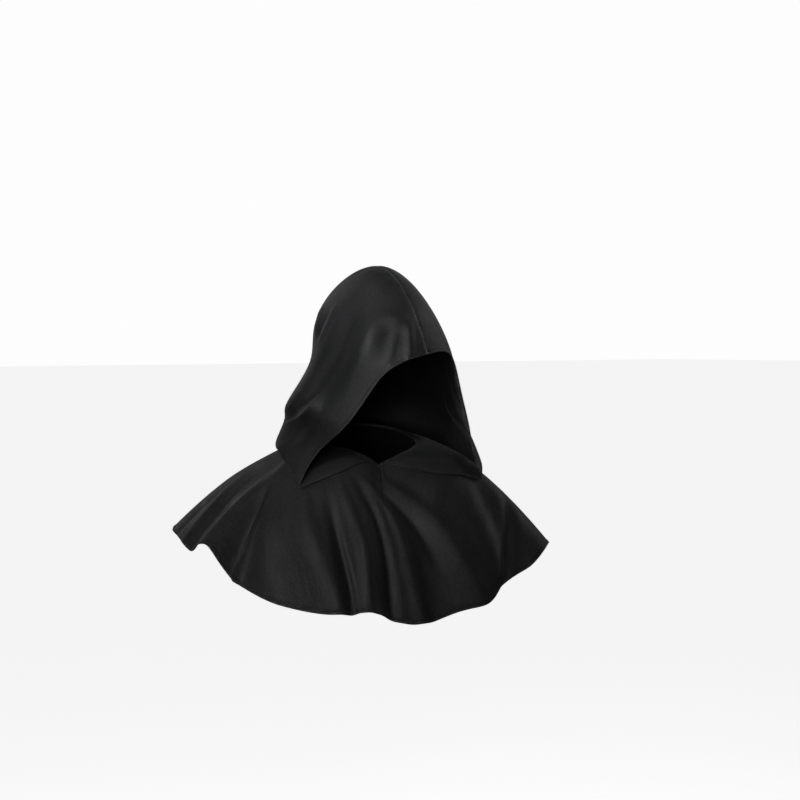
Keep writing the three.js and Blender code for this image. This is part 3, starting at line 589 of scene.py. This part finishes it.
def cloth_mesh(name, middle, normals, half, uv, around=False):
    """A closed wall of cloth about a grid of points."""
    rows, columns = middle.shape[:2]
    outer = middle + normals * half[..., None]
    inner = middle - normals * half[..., None]
    points = np.concatenate([outer.reshape(-1, 3), inner.reshape(-1, 3)]) * MM
    layer = rows * columns
    across = columns if around else columns - 1
    i, j = np.meshgrid(np.arange(rows - 1), np.arange(across), indexing="ij")
    i, j = i.ravel(), j.ravel()
    k = (j + 1) % columns
    a, b, c, d = i * columns + j, (i + 1) * columns + j, (i + 1) * columns + k, i * columns + k
    faces = [np.stack([a, b, c, d], axis=1), layer + np.stack([a, d, c, b], axis=1)]
    j = np.arange(across)
    k = (j + 1) % columns
    faces.append(np.stack([j, k, layer + k, layer + j], axis=1))
    end = (rows - 1) * columns
    faces.append(np.stack([end + k, end + j, layer + end + j, layer + end + k], axis=1))
    if not around:
        i = np.arange(rows - 1) * columns
        faces.append(np.stack([i + columns, i, layer + i, layer + i + columns], axis=1))
        i = i + columns - 1
        faces.append(np.stack([i, i + columns, layer + i + columns, layer + i], axis=1))
    faces = np.concatenate(faces)
    return make_object(name, points, faces, np.concatenate([uv.reshape(-1, 2)] * 2))


def mark_hem(piece, from_hem):
    """Stores each point's length from the hem, in millimetres, for the cloth's material."""
    values = np.concatenate([from_hem.ravel()] * 2)
    mark = piece.data.attributes.new("from_hem", "FLOAT", "POINT")
    mark.data.foreach_set("value", values.astype(np.float32))


def make_object(name, points, faces, uv):
    """A smooth mesh object, all of whose faces have the same number of corners."""
    mesh = bpy.data.meshes.new(name)
    mesh.vertices.add(len(points))
    mesh.vertices.foreach_set("co", np.asarray(points, np.float32).ravel())
    size = faces.shape[1]
    mesh.loops.add(faces.size)
    mesh.loops.foreach_set("vertex_index", faces.astype(np.int32).ravel())
    mesh.polygons.add(len(faces))
    mesh.polygons.foreach_set("loop_start", (np.arange(len(faces)) * size).astype(np.int32))
    mesh.polygons.foreach_set("use_smooth", np.ones(len(faces), bool))
    mesh.update()
    layer = mesh.uv_layers.new(name="cloth")
    layer.data.foreach_set("uv", np.asarray(uv, np.float32)[faces.ravel()].ravel())
    piece = bpy.data.objects.new(name, mesh)
    bpy.context.scene.collection.objects.link(piece)
    return piece


def cape_bearings():
    """Bearings of the cape's columns, all the way round."""
    first, last = CAPE_FRONT
    front = np.linspace(first, last, CAPE_FRONT_COLUMNS + 1)[:-1]
    behind = np.linspace(last, first + 360, CAPE_BACK_COLUMNS + 1)[:-1]
    bearings = np.concatenate([front, behind])
    return (bearings + 180) % 360 - 180


def pinch(bearing, down):
    """A small tuck held by stitches, pressed in with a lip on each side."""
    off = np.radians(bearing - PINCH_BEARING) * (NECK_HALF_DEPTH + down)
    first, last = PINCH_ENDS
    window = smooth_step((down - first + PINCH_FADE_IN) / PINCH_FADE_IN)
    window = window * (1 - smooth_step((down - last) / PINCH_FADE_OUT))
    groove = PINCH_DEPTH * np.exp(-((off / PINCH_REACH) ** 2))
    lips = LIP_HEIGHT * np.exp(-(((np.abs(off) - LIP_ASIDE) / LIP_REACH) ** 2))
    return (lips - groove) * window


def build_cape():
    """The cape's cloth, with its middle grid and its normals."""
    bearings = cape_bearings()
    shares = np.linspace(0, 1, CAPE_ROWS)
    reach, z = cape_profile(bearings[None, :], shares[:, None])
    fine = round_neck(bearings[None, :], reach, z)
    grid = resample(fine[::-1].transpose(1, 0, 2), HEM_PLACES, CAPE_INNER_ROWS).transpose(1, 0, 2)[::-1]
    from_hem = run_lengths(grid[::-1], 0)[::-1]
    normals = grid_normals(grid, 1, around=True)
    down = run_lengths(grid, 0)
    grid = grid + normals * pinch(bearings[None, :], down)[..., None]
    normals = grid_normals(grid, 1, around=True)
    flat_radius = NECK_FLAT_RADIUS + down
    angle = np.radians(bearings)[None, :]
    uv = np.stack([flat_radius * np.sin(angle), flat_radius * np.cos(angle)], axis=-1) * MM
    piece = cloth_mesh("capelet_cloth", grid, normals, half_wall(from_hem), uv, around=True)
    mark_hem(piece, from_hem)
    return piece, grid, normals


def build_hood():
    """Both panels' cloth, with their middle grids and normals."""
    stations = np.concatenate([[0]] + [k + np.arange(1, n + 1) / n for k, n in enumerate(HOOD_CELLS)])
    backs = np.linspace(0, 1, HOOD_COLUMNS)
    grids = hood_arches(stations, backs)
    normals = [grid_normals(grids[0], 1), grid_normals(grids[1], -1)]
    seam_average(*normals)
    panels = []
    for grid, normal in zip(grids, normals):
        grid = grid + normal * fold_height(grid)[..., None]
        near_gap = CLOTH_WALL + STITCH_GAP - CLOSER_AT_SEAM
        far_gap = CLOTH_WALL + REST_GAP - CLOSER_AT_REST
        grid = rest_on_cape(grid, near_gap, far_gap)
        panels.append(resample(grid, HEM_PLACES, HOOD_INNER_COLUMNS))
    normals = [grid_normals(panels[0], 1), grid_normals(panels[1], -1)]
    seam_average(*normals)
    pieces = []
    for name, grid, normal in zip(("hood_right_cloth", "hood_left_cloth"), panels, normals):
        from_hem = run_lengths(grid, 1)
        to_crown = run_lengths(grid[::-1], 0)[::-1]
        to_back = run_lengths(grid[:, ::-1], 1)[:, ::-1]
        to_seam = np.minimum(to_crown, to_back)
        grid = grid - normal * (SEAM_GROOVE * np.exp(-((to_seam / SEAM_GROOVE_REACH) ** 2)))[..., None]
        uv = np.stack([from_hem, to_crown], axis=-1) * MM
        piece = cloth_mesh(name, grid, normal, half_wall(from_hem), uv)
        mark_hem(piece, from_hem)
        if name == "hood_left_cloth":
            piece.data.flip_normals()
        pieces.append(piece)
    return pieces, panels, normals


def stitches(name, lines):
    """Sewn stitches along lines of (points, normals): short six-sided threads, end to end with gaps."""
    ring = len(STITCH_RING)
    points = []
    uv = []
    faces = []
    for line, up in lines:
        lengths = run_lengths(line[None], 1)[0]
        for start in np.arange(STITCH_START, lengths[-1] - STITCH_PITCH, STITCH_PITCH):
            ends = []
            for place in (start, start + STITCH_LENGTH / 2, start + STITCH_LENGTH):
                ends.append([np.interp(place, lengths, line[:, axis]) for axis in range(3)])
            ends = np.array(ends)
            normal = np.array([np.interp(start, lengths, up[:, axis]) for axis in range(3)])
            along = (ends[2] - ends[0]) / max(np.linalg.norm(ends[2] - ends[0]), 1e-6)
            side = np.cross(along, normal)
            side /= np.linalg.norm(side)
            normal = np.cross(side, along)
            first = len(points)
            for k, (centre, lift, thick) in enumerate(zip(ends, STITCH_LIFTS, STITCH_THICKNESS)):
                out = thick * THREAD / 2
                for across, high in STITCH_RING:
                    points.append(centre + side * across * out + normal * (high * out + lift))
                    uv.append((across * THREAD / 2 * MM, (start + k * STITCH_LENGTH / 2) * MM))
            for k in range(2):
                low, high = first + ring * k, first + ring * (k + 1)
                for n in range(ring):
                    m = (n + 1) % ring
                    faces.append((low + n, low + m, high + m, high + n))
            faces.append((first + 3, first + 2, first + 1, first))
            faces.append((first + 5, first + 4, first + 3, first))
            last = first + 2 * ring
            faces.append((last, last + 1, last + 2, last + 3))
            faces.append((last, last + 3, last + 4, last + 5))
    return make_object(name, np.array(points) * MM, np.array(faces), np.array(uv))


def neckline_tape(grid):
    """The narrow tape that covers the neckline seam from inside."""
    bearings = cape_bearings()
    heights = np.array(TAPE_HEIGHTS)
    middle = np.zeros((len(heights), len(bearings), 3))
    outwards = round_neck(bearings, 0 * bearings + 1, 0.0) - round_neck(bearings, 0 * bearings, 0.0)
    for row, height in enumerate(heights):
        middle[row] = grid[0] - outwards * TAPE_INSIDE
        middle[row, :, 2] += height
    normals = np.broadcast_to(outwards, middle.shape)
    round_neckline = np.broadcast_to(np.radians(bearings) * NECK_HALF_DEPTH, middle.shape[:2])
    up_the_tape = np.broadcast_to(heights[:, None], middle.shape[:2])
    uv = np.stack([round_neckline, up_the_tape], axis=-1)
    middle = middle[::-1]
    half = np.full(middle.shape[:2], TAPE / 2)
    return cloth_mesh("neckline_tape", middle, normals, half, uv[::-1] * MM, around=True)


# Blotches per metre across and along the cloth, and how many finer layers each noise has
SLUBS = (420, 190, 2)
CLOUDS = (26, 11, 3)
FINE_CREASES = (90, 34, 2)

# Colours, and the roughness of the deepest and of the palest cloth or thread
DEEP_BLACK = (0.0090, 0.0090, 0.0102, 1)
SOFT_BLACK = (0.0215, 0.0210, 0.0225, 1)
PALE_HEM_BLACK = (0.036, 0.036, 0.038, 1)
THREAD_DARK = (0.010, 0.010, 0.011, 1)
THREAD_PALE = (0.032, 0.032, 0.034, 1)
SATIN_ROUGHNESS = (0.66, 0.47)
THREAD_ROUGHNESS = (0.34, 0.46)

# The satin's gloss, the share of the threads' height that runs lengthwise, and that of the slubs in the tone
SATIN_SPECULAR = 0.42
SATIN_SHEEN = 0.08
SHEEN_ROUGHNESS = 0.4
LENGTHWISE_SHARE = 0.7
CROSSWISE_SHARE = 0.3
SLUB_SHARE = 0.5
CLOUD_SHARE = 0.5

# The tones that the colours are spread over, and where along the hem and how strongly the colour is made
# paler
TONE_RANGE = (0.36, 0.64)
PALE_HEM_LENGTHS = (0.2, 3.5)
PALE_HEM_SLUBS = (0.4, 0.65)
PALE_HEM_SHARES = (0.15, 0.9)

# Metres between threads, and the height and strength of each bump
THREAD_PITCH = 0.0005
CROSS_THREAD_PITCH = 0.0008
TWIST_PITCH = 0.0006
WEAVE_BUMP = (0.00005, 0.5)
SLUB_BUMP = (0.0004, 0.5)
CREASE_BUMP = (0.0012, 0.35)
TWIST_BUMP = (0.0001, 0.6)


def stretched_noise(tree, across, along, detail):
    """Noise on the flat cloth, so many blotches per metre across and along it, from 0 to 1."""
    place = tree.nodes.new("ShaderNodeUVMap")
    place.uv_map = "cloth"
    mapping = tree.nodes.new("ShaderNodeMapping")
    mapping.inputs["Scale"].default_value = (across, along, 1)
    noise = tree.nodes.new("ShaderNodeTexNoise")
    noise.inputs["Scale"].default_value = 1
    noise.inputs["Detail"].default_value = detail
    tree.links.new(place.outputs["UV"], mapping.inputs["Vector"])
    tree.links.new(mapping.outputs["Vector"], noise.inputs["Vector"])
    return noise.outputs[0]


def thread_waves(tree, direction, pitch):
    """Rounded threads that lie side by side, `pitch` metres apart."""
    place = tree.nodes.new("ShaderNodeUVMap")
    place.uv_map = "cloth"
    waves = tree.nodes.new("ShaderNodeTexWave")
    waves.bands_direction = direction
    waves.inputs["Scale"].default_value = math.pi / (10 * pitch)
    tree.links.new(place.outputs["UV"], waves.inputs["Vector"])
    return waves.outputs["Fac"]


def sum_of(tree, first, first_share, second, second_share):
    """Shares of two values, added."""
    scaled = tree.nodes.new("ShaderNodeMath")
    scaled.operation = "MULTIPLY"
    scaled.inputs[1].default_value = first_share
    tree.links.new(first, scaled.inputs[0])
    total = tree.nodes.new("ShaderNodeMath")
    total.operation = "MULTIPLY_ADD"
    total.inputs[1].default_value = second_share
    tree.links.new(second, total.inputs[0])
    tree.links.new(scaled.outputs[0], total.inputs[2])
    return total.outputs[0]


def in_range(tree, value, low, high, to_low, to_high):
    """A value's part from low to high, as a value from to_low to to_high."""
    span = tree.nodes.new("ShaderNodeMapRange")
    for name, number in (("From Min", low), ("From Max", high), ("To Min", to_low), ("To Max", to_high)):
        span.inputs[name].default_value = number
    tree.links.new(value, span.inputs["Value"])
    return span.outputs["Result"]


def bumped(tree, height, distance, strength, under=None):
    """The normal of a bump, laid over the normal of an earlier one where that is given."""
    bump = tree.nodes.new("ShaderNodeBump")
    bump.inputs["Distance"].default_value = distance
    bump.inputs["Strength"].default_value = strength
    tree.links.new(height, bump.inputs["Height"])
    if under is not None:
        tree.links.new(under, bump.inputs["Normal"])
    return bump.outputs["Normal"]


def mixed_colour(tree, share, dark, light):
    """From one colour to another by a share; either may be a colour or another node's output."""
    mix = tree.nodes.new("ShaderNodeMix")
    mix.data_type = "RGBA"
    colours = [socket for socket in mix.inputs if socket.type == "RGBA"]
    for socket, colour in zip(colours, (dark, light)):
        if hasattr(colour, "is_output"):
            tree.links.new(colour, socket)
        else:
            socket.default_value = colour
    tree.links.new(share, mix.inputs[0])
    return [socket for socket in mix.outputs if socket.type == "RGBA"][0]


def satin(name):
    """Thin black polyester satin: threads, slubs, clouds of deeper black and a paler band, in patches, along
    the hem's edge.
    """
    material = bpy.data.materials.new(name)
    material.use_nodes = True
    tree = material.node_tree
    shader = tree.nodes["Principled BSDF"]
    slubs = stretched_noise(tree, *SLUBS)
    clouds = stretched_noise(tree, *CLOUDS)
    creases = stretched_noise(tree, *FINE_CREASES)
    tone = sum_of(tree, slubs, SLUB_SHARE, clouds, CLOUD_SHARE)
    colour = mixed_colour(tree, in_range(tree, tone, *TONE_RANGE, 0, 1), DEEP_BLACK, SOFT_BLACK)
    # The colour is made paler in patches within a few millimetres of the hem's edge
    edge = tree.nodes.new("ShaderNodeAttribute")
    edge.attribute_name = "from_hem"
    paler_hem = tree.nodes.new("ShaderNodeMath")
    paler_hem.operation = "MULTIPLY"
    tree.links.new(in_range(tree, edge.outputs["Fac"], *PALE_HEM_LENGTHS, 1, 0), paler_hem.inputs[0])
    tree.links.new(in_range(tree, slubs, *PALE_HEM_SLUBS, *PALE_HEM_SHARES), paler_hem.inputs[1])
    colour = mixed_colour(tree, paler_hem.outputs[0], colour, PALE_HEM_BLACK)
    tree.links.new(colour, shader.inputs["Base Color"])
    tree.links.new(in_range(tree, tone, *TONE_RANGE, *SATIN_ROUGHNESS), shader.inputs["Roughness"])
    shader.inputs["Specular IOR Level"].default_value = SATIN_SPECULAR
    shader.inputs["Sheen Weight"].default_value = SATIN_SHEEN
    shader.inputs["Sheen Roughness"].default_value = SHEEN_ROUGHNESS
    lengthwise = thread_waves(tree, "X", THREAD_PITCH)
    crosswise = thread_waves(tree, "Y", CROSS_THREAD_PITCH)
    threads = sum_of(tree, lengthwise, LENGTHWISE_SHARE, crosswise, CROSSWISE_SHARE)
    woven = bumped(tree, threads, *WEAVE_BUMP)
    slubbed = bumped(tree, slubs, *SLUB_BUMP, woven)
    creased = bumped(tree, creases, *CREASE_BUMP, slubbed)
    tree.links.new(creased, shader.inputs["Normal"])
    return material


def thread():
    """Black sewing thread, glossier than the cloth, with its twist."""
    material = bpy.data.materials.new("black_thread")
    material.use_nodes = True
    tree = material.node_tree
    shader = tree.nodes["Principled BSDF"]
    twist = thread_waves(tree, "DIAGONAL", TWIST_PITCH)
    colour = mixed_colour(tree, twist, THREAD_DARK, THREAD_PALE)
    tree.links.new(colour, shader.inputs["Base Color"])
    tree.links.new(in_range(tree, twist, 0, 1, *THREAD_ROUGHNESS), shader.inputs["Roughness"])
    tree.links.new(bumped(tree, twist, *TWIST_BUMP), shader.inputs["Normal"])
    return material


# The camera's bearing and height in degrees, its lens, and its place to its own right, up and back
CAMERA_AZIMUTH = -12
CAMERA_ELEVATION = 4
CAMERA_LENS = 90
CAMERA_SENSOR = 36
CAMERA_PLACE = (28.5, -199.7, 3000)
CAMERA_SEES_TO = 100

# The surround and floor, in metres, and how much each glows
SURROUND_RADIUS = 30
SURROUND_GLOW = 0.985
FLOOR_SIZE = 56
FLOOR_LEVEL = -1.6
FLOOR_GLOW = 0.9


def direction(azimuth, elevation):
    """The way out to a bearing and height in degrees; azimuth 0 is straight ahead of the cape's front."""
    a, e = math.radians(azimuth), math.radians(elevation)
    return Vector((math.sin(a) * math.cos(e), -math.cos(a) * math.cos(e), math.sin(e)))


def add_camera():
    azimuth = math.radians(CAMERA_AZIMUTH)
    back = direction(CAMERA_AZIMUTH, CAMERA_ELEVATION)
    right = Vector((math.cos(azimuth), math.sin(azimuth), 0))
    up = back.cross(right)
    data = bpy.data.cameras.new("camera")
    data.lens = CAMERA_LENS
    data.sensor_width = CAMERA_SENSOR
    camera = bpy.data.objects.new("camera", data)
    place = right * CAMERA_PLACE[0] + up * CAMERA_PLACE[1] + back * CAMERA_PLACE[2]
    rotation = Matrix((right, up, back)).transposed().to_4x4()
    camera.matrix_world = Matrix.Translation(place * MM) @ rotation
    data.clip_end = CAMERA_SEES_TO
    bpy.context.scene.collection.objects.link(camera)
    bpy.context.scene.camera = camera


def add_light(name, azimuth, elevation, distance, size, power, aim=-0.3, spread=180):
    """An area light that looks at the axis at the height `aim`, from so many metres off."""
    out = direction(azimuth, elevation)
    data = bpy.data.lights.new(name, "AREA")
    data.shape = "RECTANGLE"
    data.size, data.size_y = size
    data.energy = power
    data.spread = math.radians(spread)
    light = bpy.data.objects.new(name, data)
    light.location = Vector((0, 0, aim)) + out * distance
    light.rotation_mode = "QUATERNION"
    light.rotation_quaternion = (-out).to_track_quat("-Z", "Y")
    light.visible_camera = False
    bpy.context.scene.collection.objects.link(light)


def add_stage():
    """A pale floor and a white surround, far enough away to clear every view."""
    white = bpy.data.materials.new("pale_surround")
    white.use_nodes = True
    nodes = white.node_tree.nodes
    nodes.clear()
    glow = nodes.new("ShaderNodeEmission")
    glow.inputs["Color"].default_value = (1, 1, 1, 1)
    glow.inputs["Strength"].default_value = SURROUND_GLOW
    out = nodes.new("ShaderNodeOutputMaterial")
    white.node_tree.links.new(glow.outputs[0], out.inputs[0])
    bpy.ops.mesh.primitive_ico_sphere_add(subdivisions=4, radius=SURROUND_RADIUS)
    dome = bpy.context.object
    dome.name = "surround"
    dome.data.materials.append(white)
    pale = bpy.data.materials.new("pale_floor")
    pale.use_nodes = True
    shader = pale.node_tree.nodes["Principled BSDF"]
    shader.inputs["Base Color"].default_value = (0.9, 0.9, 0.9, 1)
    shader.inputs["Roughness"].default_value = 0.9
    shader.inputs["Emission Color"].default_value = (1, 1, 1, 1)
    shader.inputs["Emission Strength"].default_value = FLOOR_GLOW
    bpy.ops.mesh.primitive_plane_add(size=FLOOR_SIZE, location=(0, 0, FLOOR_LEVEL))
    floor = bpy.context.object
    floor.name = "floor"
    floor.data.materials.append(pale)
    for piece in (dome, floor):
        piece.visible_diffuse = False
        piece.visible_glossy = False
        piece.visible_transmission = False
        piece.visible_shadow = False
    world = bpy.data.worlds.new("studio")
    bpy.context.scene.world = world
    world.use_nodes = True
    world.node_tree.nodes["Background"].inputs["Color"].default_value = (1, 1, 1, 1)
    world.node_tree.nodes["Background"].inputs["Strength"].default_value = 0.0


bpy.context.scene.view_settings.view_transform = "Standard"
add_camera()
add_stage()

# Large soft lights all round, and two small weak ones that look at the crown and at the hem
add_light("key", -28, 8, 2.6, (1.3, 1.3), 14)
add_light("above", -65, 60, 2.6, (1.3, 1.3), 3)
add_light("near", -26, 30, 1.3, (0.35, 0.35), 0.30, aim=-0.04, spread=24)
add_light("low", -58, 16, 1.3, (0.35, 0.35), 0.11, aim=-0.52, spread=22)
add_light("side", 108, 28, 2.6, (1.3, 1.3), 6)
add_light("rim_left", -150, 30, 2.6, (0.8, 1.8), 5)
add_light("rim_right", 155, 30, 2.6, (0.8, 1.8), 2.5)

cape, cape_grid, cape_normals = build_cape()
(hood_right, hood_left), hood_panels, hood_normals = build_hood()
hood_satin = satin("hood_satin")
cape_satin = satin("capelet_satin")
black_thread = thread()

# The stitch lines lie in the hems' grooves, stop short of the crown seam and reach past the pinch's ends
CROWN_CELLS_LEFT = 4
PINCH_STITCH_BEFORE = 2
PINCH_STITCH_PAST = 3
stitch_column = int(np.argmin(np.abs(HEM_PLACES - HEM_STITCH)))
face_lines = []
for panel, normal in zip(hood_panels, hood_normals):
    line = panel[:-CROWN_CELLS_LEFT, stitch_column]
    up = normal[:-CROWN_CELLS_LEFT, stitch_column]
    face_lines.append((line + up * THREAD_OVER_HEM, up))
face_stitching = stitches("face_hem_stitching", face_lines)
hem_row, hem_up = cape_grid[-1 - stitch_column], cape_normals[-1 - stitch_column]
cape_lines = [(hem_row + hem_up * THREAD_OVER_HEM, hem_up)]
column = int(np.argmin(np.abs(cape_bearings() - PINCH_BEARING)))
depth = run_lengths(cape_grid, 0)[:, column]
rows = (depth > PINCH_ENDS[0] - PINCH_STITCH_BEFORE) & (depth < PINCH_ENDS[1] + PINCH_STITCH_PAST)
pinch_up = cape_normals[rows, column]
cape_lines.append((cape_grid[rows, column] + pinch_up * THREAD_OVER_PINCH, pinch_up))
cape_stitching = stitches("cape_hem_stitching", cape_lines)
tape = neckline_tape(cape_grid)

for piece, material in (
    (cape, cape_satin),
    (tape, cape_satin),
    (hood_right, hood_satin),
    (hood_left, hood_satin),
    (face_stitching, black_thread),
    (cape_stitching, black_thread),
):
    piece.data.materials.append(material)

for piece, node, slot in (
    (cape, "capelet", "capelet_satin"),
    (hood_right, "hood_right_panel", "hood_satin"),
    (hood_left, "hood_left_panel", "hood_satin"),
):
    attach(piece, "root")
    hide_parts(node)
for piece, slot in (
    (tape, "capelet_satin"),
    (cape_stitching, "capelet_satin"),
    (face_stitching, "hood_satin"),
):
    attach(piece, "root")
